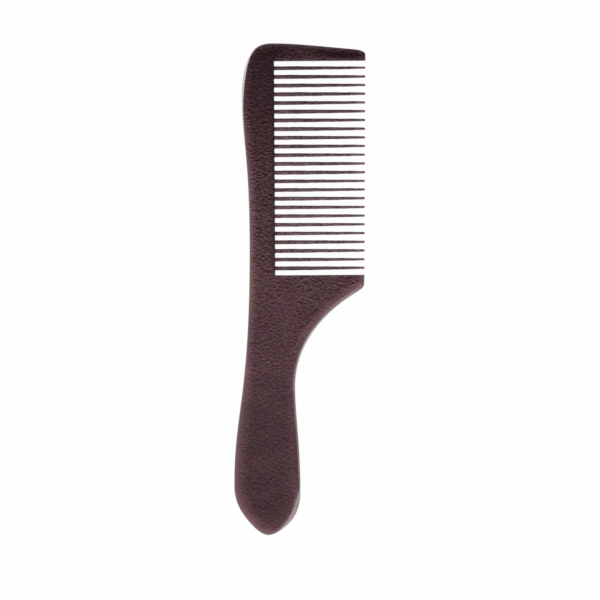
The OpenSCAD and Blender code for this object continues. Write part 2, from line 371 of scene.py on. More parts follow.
# Force of the grain: ramps along y, then its share on teeth, on places with painted edge light and
# on painted highlights
FORCE_HANDLE_Y = (-60.0, -10.0, 0.48, 0.72)
FORCE_MIDDLE_Y = (-2.0, 16.0, 1.0, 1.45)
FORCE_HEAD_Y = (65.0, 88.0, 1.0, 0.88)
FORCE_TOOTH = 0.6
FORCE_EDGE_LIGHT = (0.1, 1.0, 1.0, 0.45)
FORCE_GLEAM = (0.1, 0.8, 1.0, 0.3)

# Surface of the wood: ramps go from the face to the wall, or along y
BUMP_STRENGTH = 0.8
BUMP_DEPTH = 0.0005
BUMP_SIDE = (0.35, 0.9, 1.0, 0.15)
WOOD_IOR = 1.48
WOOD_SPECULAR = 0.03
COAT_IOR = 1.3
COAT_ROUGHNESS = 0.2
TOOTH_COAT = 0.12
BODY_COAT_SIDE = (0.5, 1.0, 0.19, 0.8)
BODY_COAT_Y = (-80.0, -50.0, 0.3, 1.0)
TOOTH_ROUGHNESS = 0.42
BODY_ROUGHNESS_SIDE = (0.5, 0.95, 0.38, 0.28)

# Floor, world, lamps and camera, in metres. The lens, the sensor and the view's width are
# millimetres, and the view's turn is degrees.
WHITE = (1.0, 1.0, 1.0, 1.0)
FLOOR_GREY = (0.85, 0.85, 0.85, 1.0)
FLOOR_HALF = 6.0
FLOOR_Z = -0.0002
FLOOR_GLOW_SHARE = 0.975
WORLD_LIGHT = (0.05, 0.8, 1.1, 0.25)
LAMP_SIZE = 0.8
LEFT_LAMP = ((-0.86, -0.10, 0.5), 6.0)
FRONT_LAMP = ((0.25, -0.85, 0.5), 5.0)
LENS = 450.0
SENSOR = 36.0
VIEW_W = 243.95
VIEW_CENTRE = (-0.00003, -0.00447)
VIEW_TURN = -0.35
CLIP_END = 50.0

# Sockets of the range node, and those of the mix node that take and give colours
RANGE_KEYS = ("From Min", "From Max", "To Min", "To Max")
MIX_IN = (0, 6, 7)
MIX_OUT = 2


def mix(a, b, f):
    return a + (b - a) * f


def clamp01(v):
    return max(0.0, min(1.0, v))


def smooth01(v):
    v = np.clip(v, 0.0, 1.0)
    return v * v * (3 - 2 * v)


def ease(v, start, run):
    """Smooth rise from 0 at start to 1 a run further on, downwards where the run is negative."""
    return smooth01((v - start) / run)


def swelling(f):
    return np.sin(np.pi * np.clip(f, 0, 1)) ** 2


def hump(v, start, run):
    """Smooth hump from start over the run, 1 at its middle and 0 outside."""
    return swelling((v - start) / run)


def beside(gap, reach, fade):
    """1 close to an edge, falling to 0 at the reach over the fade."""
    return smooth01((reach - gap) / fade)


def pt(x, y):
    return np.array([x, y], float)


def tip_line(y):
    return TIP_X - TOOTH_LEN_FALL * (GUARD_Y - y) / WINDOW_H


def curve(a, b, c, d, n):
    """Cubic curve from a to d with the handles b and c, as n points without the last one."""
    t = (np.arange(n) / n)[:, None]
    s = 1 - t
    return s**3 * a + 3 * s * s * t * b + 3 * s * t * t * c + t**3 * d


def round_corner(a, c, b, n):
    return curve(a, mix(a, c, CORNER_PULL), mix(b, c, CORNER_PULL), b, n)


def sway(a, b, pull, n):
    rise = b[1] - a[1]
    return curve(a, a + pt(0, pull[0] * rise), b - pt(0, pull[1] * rise), b, n)


def straight(a, b, n):
    return curve(a, mix(a, b, 1 / 3), mix(a, b, 2 / 3), b, n)


def body_outline():
    """Closed outline of the body with its tooth window, clockwise from the handle's end.

    Returns the points, the index range of the wall that the teeth stand on, and that of the
    whole window.
    """
    cut_b = pt(BACK_X, END_Y + END_CUT_BACK)
    foot_b = pt(BACK_X + END_CUT_BACK_W, END_Y)
    cut_f = pt(FRONT_X, END_Y + END_CUT_FRONT)
    foot_f = pt(FRONT_X - END_CUT_FRONT_W, END_Y)
    nose = mix(foot_b, foot_f, 0.5)
    mid_b = mix(cut_b, foot_b, 0.5)
    mid_f = mix(cut_f, foot_f, 0.5)
    back_full = pt(BACK_X, BACK_FULL_Y)
    front_full = pt(FRONT_X, FRONT_FULL_Y)
    waist = pt(WAIST_X, WAIST_Y)
    swell = pt(SWELL_X, SWELL_Y)
    crown = pt(ROOT_X, HEAD_Y)
    swell_top = mix(swell, pt(SWELL_X, HEAD_Y), CROWN_PULL[0])
    crown_back = mix(crown, pt(SWELL_X, HEAD_Y), CROWN_PULL[1])
    guard_top = pt(TIP_X - GUARD_ROUND, HEAD_Y - GUARD_FALL)
    top_run = guard_top[0] - crown[0]
    guard_tilt = pt(1, -GUARD_SLOPE * GUARD_FALL / top_run)
    crown_front = crown + pt(GUARD_PULL[0] * top_run, 0)
    guard_back = guard_top - GUARD_PULL[1] * top_run * guard_tilt
    guard_corner = guard_top + GUARD_ROUND * guard_tilt
    guard_end = pt(TIP_X, mix(GUARD_Y, guard_corner[1], GUARD_END_SHARE))
    corner = pt(tip_line(CORNER_Y) - CORNER_INSET, CORNER_Y + CORNER_LIFT)
    neck = pt(NECK_X, NECK_Y)
    throat = pt(NECK_X, mix(NECK_Y, CORNER_Y, THROAT_PULL[1]))
    corner_aim = throat - pt(0, CORNER_AIM)
    corner_side = (corner_aim - corner) / np.linalg.norm(corner_aim - corner)
    shoulder_end = corner + pt(0, SHOULDER_ROUND)
    throat_start = corner + SHOULDER_ROUND * corner_side
    throat_gap = np.linalg.norm(throat - throat_start)
    throat_lead = throat_start + THROAT_PULL[0] * throat_gap * corner_side
    gx, gy = pt(CORNER_R, 0), pt(0, CORNER_R)
    guard_low = pt(TIP_X, GUARD_Y)
    root_top = pt(ROOT_X, GUARD_Y)
    root_low = pt(ROOT_X, SHOULDER_Y)
    shoulder_top = pt(tip_line(SHOULDER_Y), SHOULDER_Y)
    up = [
        round_corner(nose, foot_b, mid_b, END_N),
        round_corner(mid_b, cut_b, back_full, CUT_N),
        sway(back_full, waist, BACK_PULL, BACK_N),
        sway(waist, swell, SWELL_PULL, SWELL_N),
        curve(swell, swell_top, crown_back, crown, CROWN_N),
        curve(crown, crown_front, guard_back, guard_top, GUARD_N),
        round_corner(guard_top, guard_corner, guard_end, TIP_N),
        straight(guard_end, guard_low + gy, LIP_N),
    ]
    inwards = [
        round_corner(guard_low + gy, guard_low, guard_low - gx, BEND_N),
        straight(guard_low - gx, root_top + gx, LEDGE_N),
        round_corner(root_top + gx, root_top, root_top - gy, BEND_N),
    ]
    spine = [straight(root_top - gy, root_low + gy, SPINE_N)]
    outwards = [
        round_corner(root_low + gy, root_low, root_low + gx, BEND_N),
        straight(root_low + gx, shoulder_top - gx, LEDGE_N),
        round_corner(shoulder_top - gx, shoulder_top, shoulder_top - gy, BEND_N),
    ]
    down = [
        straight(shoulder_top - gy, shoulder_end, SHOULDER_N),
        round_corner(shoulder_end, corner, throat_start, CORNER_N),
        curve(throat_start, throat_lead, throat, neck, THROAT_N),
        sway(neck, front_full, FRONT_PULL, FRONT_N),
        round_corner(front_full, cut_f, mid_f, CUT_N),
        round_corner(mid_f, foot_f, nose, END_N),
    ]
    ends = np.cumsum([sum(len(p) for p in group) for group in (up, inwards, spine, outwards)])
    window_start, wall_start, wall_stop, window_stop = (int(end) for end in ends)
    pts = np.vstack(up + inwards + spine + outwards + down)
    return pts, range(wall_start, wall_stop), range(window_start, window_stop)


def outward_of(pts):
    run = np.roll(pts, -1, 0) - np.roll(pts, 1, 0)
    run /= np.linalg.norm(run, axis=1)[:, None]
    return np.column_stack([-run[:, 1], run[:, 0]])


def thinned(x):
    """How far each face lies below the full thickness, with a soft start of the thinning."""
    return THIN_DROP / THIN_RUN * THIN_BLEND * np.logaddexp(0, (x - THIN_X) / THIN_BLEND)


def end_lean(y):
    """Share of the lean of the wall at the handle's end."""
    return hump(y, END_SLANT_Y, 2 * END_SLANT_HALF)


def head_lean(y):
    """Share of the lean of the wall at the head."""
    return swelling(np.sqrt(np.maximum(0, HEAD_SLANT_Y - y) / HEAD_SLANT_RUN))


def make_mesh(name, verts, faces, floats):
    mesh = bpy.data.meshes.new(name)
    mesh.from_pydata([tuple(v) for v in np.asarray(verts) * MM], [], faces)
    for key, values in floats.items():
        data = mesh.attributes.new(key, "FLOAT", "POINT")
        data.data.foreach_set("value", np.asarray(values, np.float32))
    mesh.polygons.foreach_set("use_smooth", [True] * len(mesh.polygons))
    mesh.validate()
    mesh.update()
    obj = bpy.data.objects.new(name, mesh)
    bpy.context.scene.collection.objects.link(obj)
    return obj


def turns(n):
    """Angles of n points round a circle."""
    return 2 * np.pi * (np.arange(n) + 0.5) / n


def slot_loop(w, d, n):
    """Points of a slot with round ends, w wide and d deep, counter-clockwise from +w/2."""
    straight_half = (d - w) / 2
    turn = turns(n)
    loop = np.column_stack([np.cos(turn), np.sin(turn)]) * w / 2
    loop[:, 1] += np.where(loop[:, 1] > 0, straight_half, -straight_half)
    return loop


def tooth_y(i):
    lo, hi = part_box("tooth_%02d" % i)
    return (lo.y + hi.y) / 2 / MM


def eased(values):
    """Values round the outline, each averaged with its neighbours."""
    kernel = np.hanning(EASE_POINTS)
    kernel /= kernel.sum()
    half = EASE_POINTS // 2
    padded = np.concatenate([values[-half:], values, values[:half]])
    return np.convolve(padded, kernel, "valid")


def edge_sizes(pts, out, window):
    """Width and height of the edge rounding and lean of the wall, at each outline point."""
    far = np.clip((pts[:, 0] - THIN_X) / THIN_RUN, 0, 1)
    width = mix(EDGE_W, EDGE_TIP_W, far)
    height = mix(EDGE_H, EDGE_TIP_H, far)
    width[list(window)] = WINDOW_EDGE
    height[list(window)] = WINDOW_EDGE
    width, height = eased(width), eased(height)
    for tip in (pt(TIP_X, GUARD_Y), pt(tip_line(SHOULDER_Y), SHOULDER_Y)):
        away = np.linalg.norm(pts - tip, axis=1)
        share = np.clip((away - CORNER_NEAR) / CORNER_RUN, 0, 1)
        width = np.minimum(width, mix(CORNER_EDGE[0], CORNER_EDGE[1], share))
    out_x, y = out[:, 0], pts[:, 1]
    end = (y < NECK_Y) & (out_x > 0)
    head = (y > WAIST_Y) & (out_x < -HEAD_FACING)
    throat = (y < CORNER_Y) & (out_x > 0)
    slant = end * END_SLANT * end_lean(y) * np.clip(FACING_GAIN * out_x, 0, 1)
    slant += head * HEAD_SLANT * head_lean(y)
    crisp = np.minimum(1, CRISP_GAIN * slant)
    crisp_edge = np.where(end, END_SLANT_EDGE, SLANT_EDGE)
    width = mix(width, crisp_edge, crisp)
    height = mix(height, crisp_edge, crisp)
    slant += throat * THROAT_SLANT * hump(y, THROAT_SLANT_Y, THROAT_RUN)
    return width, height, slant


def edge_rings(pts, out, width, height, slant):
    """Rings from the lower face's edge to the upper one's, each with its share of the wall."""
    rings, shares = [], []
    quarter = np.linspace(0, np.pi / 2, EDGE_STEPS + 1)
    for a in quarter:
        p = pts - out * (width * (1 - math.sin(a)))[:, None]
        rings.append(np.column_stack([p, thinned(p[:, 0]) + height * (1 - math.cos(a))]))
        shares.append(np.full(len(pts), a / (np.pi / 2)))
    for a in quarter:
        p = pts - out * (width * (1 - math.cos(a)) + slant)[:, None]
        z = COMB_T - thinned(p[:, 0]) - height * (1 - math.sin(a))
        rings.append(np.column_stack([p, z]))
        shares.append(np.full(len(pts), 1 - a / (np.pi / 2)))
    return rings, shares


def face_points(ring):
    """Points of an even lattice inside a face's innermost ring."""
    columns = np.arange(BACK_X, TIP_X, FACE_STEP)
    rows = np.arange(END_Y, HEAD_Y, FACE_STEP)
    found = np.array([(x, y) for x in columns for y in rows])
    x, y = found[:, :1], found[:, 1:]
    a, b = ring[:, :2], np.roll(ring[:, :2], -1, 0)
    crosses = (a[:, 1] > y) != (b[:, 1] > y)
    slope = np.where(b[:, 1] == a[:, 1], 1.0, b[:, 1] - a[:, 1])
    hit = crosses & (x < (b[:, 0] - a[:, 0]) * (y - a[:, 1]) / slope + a[:, 0])
    inside = hit.sum(1) % 2 == 1
    gap = np.sqrt(((found[:, None] - a[None]) ** 2).sum(2)).min(1)
    return found[inside & (gap > FACE_MARGIN)]


def turned_left(a, b, c):
    return (b[0] - a[0]) * (c[1] - a[1]) - (b[1] - a[1]) * (c[0] - a[0]) > 0


def fill_face(verts, side, faces, start, ring, up):
    """Upper or lower face inside its ring, whose points begin at the index start."""
    n = len(ring)
    points = [tuple(p) for p in np.vstack([ring[:, :2], face_points(ring)])]
    made, _, tris, source, _, _ = delaunay_2d_cdt(
        points, [], [list(range(n))], FILL_INSIDE, MERGE_GAP
    )
    index = {}
    for v, sources in enumerate(source):
        if sources and sources[0] < n:
            index[v] = start + sources[0]
            continue
        index[v] = len(verts)
        drop = float(thinned(made[v][0]))
        verts.append(np.array([made[v][0], made[v][1], COMB_T - drop if up else drop]))
        side.append(0.0)
    for t in tris:
        face = [index[v] for v in t]
        if turned_left(*(verts[v] for v in face)) != up:
            face.reverse()
        faces.append(tuple(face))


def mortised_wall(verts, side, faces, wall, low, high):
    """Wall of the spine that the teeth stand on, with a mortise for each tooth."""
    ids = [low + i for i in wall] + [low + wall[-1] + 1]
    ids += [high + wall[-1] + 1] + [high + i for i in reversed(wall)]
    points = [(verts[v][1], verts[v][2]) for v in ids]
    loops = [list(range(len(ids)))]
    slot = slot_loop(TENON_W + 2 * GLUE_SIDE, TENON_D + 2 * GLUE_SIDE, MORTISE_SIDES)
    for i in range(1, TOOTH_N + 1):
        loops.append(list(range(len(points), len(points) + MORTISE_SIDES)))
        points += [(y + tooth_y(i), z + COMB_T / 2) for y, z in slot]
    edges = [(lp[k], lp[(k + 1) % len(lp)]) for lp in loops for k in range(len(lp))]
    made, _, tris, source, _, _ = delaunay_2d_cdt(points, edges, [], FILL_HULL, MERGE_GAP)
    index = {}
    for v, sources in enumerate(source):
        if sources[0] < len(ids):
            index[v] = ids[sources[0]]
        else:
            index[v] = len(verts)
            verts.append(np.array([ROOT_X, made[v][0], made[v][1]]))
            side.append(1.0)
    mortise = {v: number for number, lp in enumerate(loops[1:]) for v in lp}
    for t in tris:
        owners = {mortise.get(source[v][0]) for v in t}
        if len(owners) == 1 and None not in owners:
            continue
        order = t if turned_left(*(made[v] for v in t)) else list(reversed(t))
        faces.append(tuple(index[v] for v in order))
    mouth = {source[v][0]: index[v] for v in range(len(made))}
    floor_x = ROOT_X - TENON_L - GLUE_END
    for lp in loops[1:]:
        rear = []
        for v in lp:
            rear.append(len(verts))
            verts.append(np.array([floor_x, points[v][0], points[v][1]]))
            side.append(1.0)
        for k in range(MORTISE_SIDES):
            j = (k + 1) % MORTISE_SIDES
            faces.append((mouth[lp[k]], mouth[lp[j]], rear[j], rear[k]))
        faces.append(tuple(rear))


def nearest_edge(places, outline, out):
    """Distance of each place from the outline, the outward direction there, and the place's y."""
    found = []
    for part in np.array_split(places, CHUNKS):
        gap = np.sqrt(((part[:, None] - outline[None]) ** 2).sum(2))
        near = gap.argmin(1)
        found.append(np.column_stack([gap.min(1), out[near], part[:, 1]]))
    return np.vstack(found).T


def throat_share(out_x, out_y, along):
    return (out_x > 0) * smooth01(-FACING_GAIN * out_y) * smooth01(THROAT_RISE * along)


def painted_edge_light(gap, out_x, out_y, y):
    """How far each place is painted paler along the edges: painted light on the rounded edges and
    in the throat.
    """
    lit = np.clip(EDGE_LIT_LEAST + EDGE_LIT_FACING * np.maximum(-out_x, -EDGE_LIT_LOW * out_y), 0, 1)
    lit *= 1 - ease(out_y, 0, EDGE_LIT_UP)
    lit *= mix(1.0, HEAD_EDGE_LIT, ease(y, *HEAD_EDGE_LIT_AT))
    lit *= 1 - (out_x < 0) * sum(part * hump(y, start, run) for part, start, run in BACK_DIPS)
    lit *= 1 + FRONT_HUMP[0] * (out_x > 0) * hump(y, *FRONT_HUMP[1:])
    lit *= mix(1.0, HANDLE_EDGE_LIT, ease(y, *HANDLE_EDGE_LIT_AT))
    front = smooth01(FACING_GAIN * out_x) * ease(y, *FRONT_SPREAD_AT)
    lit *= 1 - FRONT_SPREAD * front
    reach = mix(EDGE_LIGHT_W, FRONT_EDGE_LIGHT_W, ease(out_x, *FRONT_EDGE_LIGHT_AT))
    reach *= mix(1.0, WIDE_EDGE_LIGHT, ease(y, *WIDE_EDGE_LIGHT_AT))
    reach *= 1 + FRONT_SPREAD * front
    edge = lit * beside(gap, reach, reach)
    top = TOP_EDGE_LIGHT * ease(out_y, *TOP_EDGE_LIGHT_AT) * beside(gap, TOP_EDGE_LIGHT_W, TOP_EDGE_LIGHT_W)
    throat = throat_share(out_x, out_y, (y - NECK_Y) / NECK_DROP)
    band = throat * beside(gap, BAND_W, BAND_FADE)
    return np.maximum(np.maximum(edge, top), BAND_GAIN * band)


def edge_gleam(gap, out_x, out_y, y):
    """How far each place carries a painted highlight, in the throat, on the tip, at the neck and
    on leaning walls.
    """
    forward = smooth01(FACING_GAIN * out_x)
    along = (y - NECK_Y) / NECK_DROP
    reach = GLEAM_W - GLEAM_NARROW * ease(along, *GLEAM_NARROW_AT)
    throat = throat_share(out_x, out_y, along) * ease(along, *GLEAM_AT)
    throat = throat * beside(gap, reach, GLEAM_FADE)
    throat *= 1 - GLEAM_DIM * ease(along, *GLEAM_DIM_AT)

    tip = (out_x > TIP_FACING) * smooth01((y - CORNER_Y + TIP_MARGIN) / TIP_RISE)
    tip = tip * (y < SHOULDER_Y + TIP_MARGIN)
    tip = TIP_GLEAM * tip * beside(gap, TIP_GLEAM_W, TIP_GLEAM_W)

    neck = forward * ease(y, *NECK_START) * (1 - ease(y, *NECK_STOP))
    reach = RIM_W + RIM_GAIN * ease(y, *RIM_GAIN_AT)
    neck = neck * beside(gap, reach, RIM_FADE)

    lean = end_lean(y)
    fuller = np.minimum(1, END_LEAN_GAIN * lean)
    lean = np.where(y < END_SLANT_Y + END_SLANT_HALF, fuller, lean)
    reach = END_GLEAM_W - END_GLEAM_NARROW * ease(y, *END_GLEAM_NARROW_AT)
    end = forward * lean * (y < NECK_Y)
    end = END_GLEAM * end * beside(gap, reach, END_GLEAM_FADE)

    lean = (out_x < 0) * (y > WAIST_Y) * head_lean(y)
    strip = np.minimum(1, CRISP_GAIN * lean)
    strip = strip * beside(gap, HEAD_SLANT * lean + STRIP_MARGIN, STRIP_FADE)
    return np.maximum.reduce([throat, tip, neck, end, STRIP_GLEAM * strip])


def build_body():
    """Body with rounded edges, leaning walls and mortises, and with the shares of its painted edge
    light and painted highlights.
    """
    pts, wall, window = body_outline()
    n = len(pts)
    out = outward_of(pts)
    rings, shares = edge_rings(pts, out, *edge_sizes(pts, out, window))
    verts = list(np.vstack(rings))
    side = list(np.concatenate(shares))
    faces = []
    for k in range(len(rings) - 1):
        for i in range(n):
            if k == EDGE_STEPS and i in wall:
                continue
            j = (i + 1) % n
            faces.append((k * n + i, (k + 1) * n + i, (k + 1) * n + j, k * n + j))
    fill_face(verts, side, faces, (len(rings) - 1) * n, rings[-1], True)
    fill_face(verts, side, faces, 0, rings[0], False)
    mortised_wall(verts, side, faces, wall, EDGE_STEPS * n, (EDGE_STEPS + 1) * n)
    kept = np.delete(np.arange(n), list(window))
    edge = nearest_edge(np.array(verts)[:, :2], pts[kept], out[kept])
    floats = {"side": side, "edge_light": painted_edge_light(*edge), "gleam": edge_gleam(*edge)}
    return make_mesh("comb_body_wood", verts, faces, floats)


def squared(v):
    return np.sign(v) * np.abs(v) ** SQUARENESS


def last_share(x, taper, run):
    """Smooth rise over the last run before the taper's end."""
    return smooth01((x - taper + run) / run)


def waves(x, kind, phases):
    slow, fast, share = kind
    return math.sin(slow * x + phases[0]) + share * math.sin(fast * x + phases[1])


def tooth_rings(rng, y0, length):
    """Place, middle and half sizes of each ring of a tooth, from its root to its blunt tip."""
    taper = length - TOOTH_ROUND
    bow = rng.uniform(-BOW, BOW)
    girth = rng.uniform(*GIRTH)
    phases = [rng.uniform(0, 2 * math.pi) for _ in range(WAVE_PHASES)]
    ripple = rng.uniform(*RIPPLE)
    rings = []
    for x in ROOT_STATIONS + list(np.linspace(BLADE_START, taper, BLADE_STATIONS)):
        w = mix(TOOTH_W, TOOTH_TIP_W, clamp01((x - TOOTH_STRAIGHT) / (taper - TOOTH_STRAIGHT)))
        d = mix(TOOTH_D, TOOTH_TIP_D, x / taper)
        fullness = mix(ROOT_GIRTH, girth, ease(x, 0, GIRTH_RUN))
        w *= fullness * mix(1.0, TIP_NARROW, last_share(x, taper, TIP_RUN))
        flare = FLARE * (1 - min(1.0, x / FLARE_RUN)) ** 2
        calm = last_share(x, taper, CALM_RUN)
        free = ease(x, 0, FREE_RUN) * (1 - calm)
        w *= 1 + free * ripple * waves(x, RIPPLE_WAVES, phases[:2])
        wander = WANDER * free * waves(x, WANDER_WAVES, phases[2:])
        y = y0 + bow * (x / length) ** 2 * (1 - calm * BOW_EASE) + wander
        rings.append((x, y, w / 2 + flare, d / 2 + flare))
    end_y, end_half = rings[-1][1:3]
    for u in DOME_STATIONS:
        blunt = (1 - u**TIP_BLUNT) ** (1 / TIP_BLUNT)
        domed = (1 - u**2) ** 0.5
        rings.append((taper + TOOTH_ROUND * u, end_y, end_half * blunt, TOOTH_TIP_D / 2 * domed))
    return rings


def build_tooth(i):
    """Tooth i with its tenon: a softly squared blade, slightly uneven as a hand-sanded one is."""
    y0 = tooth_y(i)
    z0 = COMB_T / 2
    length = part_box("tooth_%02d" % i)[1].x / MM - ROOT_X
    rings = tooth_rings(random.Random(TOOTH_SEED + i), y0, length)
    sides = TOOTH_SIDES
    turn = turns(sides)
    section = np.column_stack([squared(np.cos(turn)), squared(np.sin(turn))])
    tenon = slot_loop(TENON_W, TENON_D, sides)
    verts = [np.array([ROOT_X - TENON_L, y0 + y, z0 + z]) for y, z in tenon]
    verts += [np.array([ROOT_X, y0 + y, z0 + z]) for y, z in tenon]
    along = [-TENON_L] * sides + [0.0] * sides
    rim = [0.0] * (2 * sides)
    for x, y, half_w, half_d in rings:
        for sy, sz in section:
            verts.append(np.array([ROOT_X + x, y + half_w * sy, z0 + half_d * sz]))
            along.append(x)
            rim.append(abs(sy))
    tip_y = rings[-1][1]
    verts.append(np.array([ROOT_X + length, tip_y, z0]))
    along.append(length)
    rim.append(1.0)
    faces = [tuple(reversed(range(sides)))]
    loops = len(rings) + 2
    for k in range(loops - 1):
        for j in range(sides):
            m = (j + 1) % sides
            faces.append((k * sides + j, k * sides + m, (k + 1) * sides + m, (k + 1) * sides + j))
    last = (loops - 1) * sides
    for j in range(sides):
        faces.append((last + j, last + (j + 1) % sides, len(verts) - 1))
    floats = {"along": np.array(along) / length, "rim": rim}
    return make_mesh("tooth_wood_%02d" % i, verts, faces, floats)


def add(nodes, kind, **values):
    """New node with its sockets and settings given by name."""
    node = nodes.new(kind)
    for key, value in values.items():
        if key in node.inputs:
            node.inputs[key].default_value = value
        else:
            setattr(node, key, value)
    return node


def add_range(nodes, low, high, to_low, to_high):
    node = add(nodes, "ShaderNodeMapRange", interpolation_type="SMOOTHSTEP")
    for key, number in zip(RANGE_KEYS, (low, high, to_low, to_high)):
        node.inputs[key].default_value = number
    return node


class Wood:
    """Dark plum-brown wood with short wavy grain that runs along the teeth."""

    def __init__(self, name):
        self.material = bpy.data.materials.new(name)
        self.material.use_nodes = True
        self.tree = self.material.node_tree
        self.tree.nodes.clear()

    def node(self, kind, **values):
        return add(self.tree.nodes, kind, **values)

    def link(self, a, b):
        self.tree.links.new(a, b)

    def feed(self, socket, value):
        """Set a socket to a plain value, or link it to another node's output."""
        if isinstance(value, (int, float, tuple)):
            socket.default_value = value
        else:
            self.link(value, socket)

    def math(self, operation, a, b=None):
        node = self.node("ShaderNodeMath", operation=operation)
        self.feed(node.inputs[0], a)
        if b is not None:
            self.feed(node.inputs[1], b)
        return node.outputs[0]

    def times(self, a, b):
        return self.math("MULTIPLY", a, b)

    def away(self, value, line):
        """Distance from a line."""
        return self.math("ABSOLUTE", self.math("SUBTRACT", value, line))

    def ramp(self, value, low, high, to_low=0.0, to_high=1.0):
        node = add_range(self.tree.nodes, low, high, to_low, to_high)
        self.link(value, node.inputs["Value"])
        return node.outputs["Result"]

    def vector(self, operation, a, b):
        node = self.node("ShaderNodeVectorMath", operation=operation)
        self.feed(node.inputs[0], a)
        self.feed(node.inputs[1], b)
        return node.outputs[0]

    def scaled(self, vector, factor):
        node = self.node("ShaderNodeVectorMath", operation="SCALE")
        self.feed(node.inputs[0], vector)
        self.feed(node.inputs["Scale"], factor)
        return node.outputs[0]

    def attribute(self, name):
        return self.node("ShaderNodeAttribute", attribute_name=name).outputs["Fac"]

    def noise(self, place, cells, detail=NOISE_DETAIL):
        node = self.node("ShaderNodeTexNoise", Scale=1.0, Detail=detail, Roughness=NOISE_ROUGHNESS)
        self.link(self.vector("MULTIPLY", place, cells), node.inputs["Vector"])
        return node.outputs["Fac"]

    def grain(self, place):
        """Height of short wavy strokes along the teeth, and their dark and light flanks: grain
        colour with painted relief shading, one flank lit and the other shaded.
        """
        lift = self.node("ShaderNodeCombineXYZ")
        self.link(self.times(self.noise(place, SWAY), SWAY_LIFT), lift.inputs["Y"])
        bent = self.vector("ADD", place, lift.outputs[0])
        height = self.noise(bent, GRAIN)
        beside_it = self.noise(self.vector("ADD", bent, GRAIN_SHIFT), GRAIN)
        specks = self.math("SUBTRACT", self.noise(place, SPECKS), NOISE_MEAN)
        flanks = self.math("SUBTRACT", beside_it, height)
        return height, self.math("ADD", flanks, self.times(specks, SPECK_SHARE))

    def blend(self, factor, a, b):
        node = self.node("ShaderNodeMix", data_type="RGBA")
        for socket, value in zip(MIX_IN, (factor, a, b)):
            self.feed(node.inputs[socket], value)
        return node.outputs[MIX_OUT]


def tooth_tone(wood, y):
    """Colour of a tooth: darker near the head and paler away from it as painted shade, paler at
    its root, its tip and its flanks.
    """
    along = wood.attribute("along")
    # Painted shade: teeth darker towards the head and paler away from it
    tone = wood.blend(wood.ramp(y, *TOOTH_PAINTED_SHADE_Y), BASE, DARK)
    tone = wood.blend(wood.ramp(y, *TOOTH_PAINTED_LIGHT_Y), tone, TOOTH_PALE)
    tone = wood.blend(wood.ramp(along, *TOOTH_ROOT_PALE), tone, ROOT_PALE)
    tone = wood.blend(wood.ramp(along, *TOOTH_TIP_PALE), tone, TIP_PALE)
    return wood.blend(wood.ramp(wood.attribute("rim"), *TOOTH_RIM_PALE), tone, TOOTH_PALE)


def body_tone(wood, x, y, side):
    """Colour over the body: a head darker as painted shade, a streaked guard, edges paler as
    painted light with painted highlights, painted highlights along the window's edges, painted
    shade beside the tooth roots, and a darker handle.
    """
    # Painted shade, darker towards the head
    tone = wood.blend(wood.ramp(y, *HEAD_PAINTED_SHADE_Y), BASE, DARK)
    tone = wood.blend(wood.ramp(y, *HANDLE_SLATE_Y), tone, SLATE)
    tone = wood.blend(wood.ramp(wood.away(y, BELT_Y), *BELT_PALE), tone, PALE)
    shade = wood.ramp(wood.away(y, SHADE_Y), *SHADE_DARK)
    tone = wood.blend(wood.times(shade, wood.ramp(x, *SHADE_X)), tone, DARK)
    # More painted shade from the middle up
    tone = wood.blend(wood.ramp(y, *MIDDLE_PAINTED_SHADE_Y), tone, DARK)
    guard = wood.times(wood.ramp(y, *GUARD_PALE_Y), wood.ramp(x, *GUARD_PALE_X))
    tone = wood.blend(guard, tone, PALE)

    # Painted edge light: paler on the edge rounding, and a greyish painted sheen nearer the wall
    edge_light = wood.attribute("edge_light")
    tone = wood.blend(wood.times(edge_light, wood.ramp(side, *EDGE_LIGHT_PALE_SIDE)), tone, PALE)
    tone = wood.blend(wood.times(edge_light, wood.ramp(side, *EDGE_SHEEN_SIDE)), tone, EDGE_SHEEN)
    # Painted highlights where the gleam attribute is set, warmer in the throat and at the handle's
    # end
    warm = wood.times(wood.ramp(y, *WARM_START_Y), wood.ramp(y, *WARM_STOP_Y))
    warm = wood.math("MAXIMUM", warm, wood.ramp(y, *WARM_END_Y))
    bright = wood.blend(warm, GLEAM, WARM_GLEAM)
    tone = wood.blend(wood.times(wood.attribute("gleam"), GLEAM_SHARE), tone, bright)

    for slope, height, reach, start, stop, strength in STREAKS:
        line = wood.math("ADD", wood.times(x, slope), height)
        band = wood.ramp(wood.away(y, line), reach, STREAK_CORE)
        band = wood.times(band, wood.ramp(x, start, start + STREAK_IN))
        band = wood.times(band, wood.ramp(x, stop, stop - STREAK_OUT, 0.0, strength))
        tone = wood.blend(band, tone, STREAK)

    # Painted highlights along the window's edges, on the guard and on the shoulder, fading out at
    # the roots
    lip = wood.times(wood.ramp(y, *LIP_TOP_Y), wood.ramp(x, *LIP_PALE_X))
    tone = wood.blend(wood.times(lip, wood.ramp(y, *LIP_FOOT_Y)), tone, PALE)
    ledge = wood.times(wood.ramp(y, *LEDGE_FOOT_Y), wood.ramp(y, *LEDGE_TOP_Y))
    tone = wood.blend(wood.times(ledge, wood.ramp(x, *LEDGE_PALE_X)), tone, PALE)
    # Painted shade on the spine beside the tooth roots
    root_shade = wood.times(wood.ramp(x, *ROOT_SHADE_START_X), wood.ramp(x, *ROOT_SHADE_STOP_X))
    root_shade = wood.times(root_shade, wood.ramp(y, *ROOT_SHADE_Y))
    return wood.blend(wood.times(root_shade, ROOT_SHADE_DARK), tone, DARK)


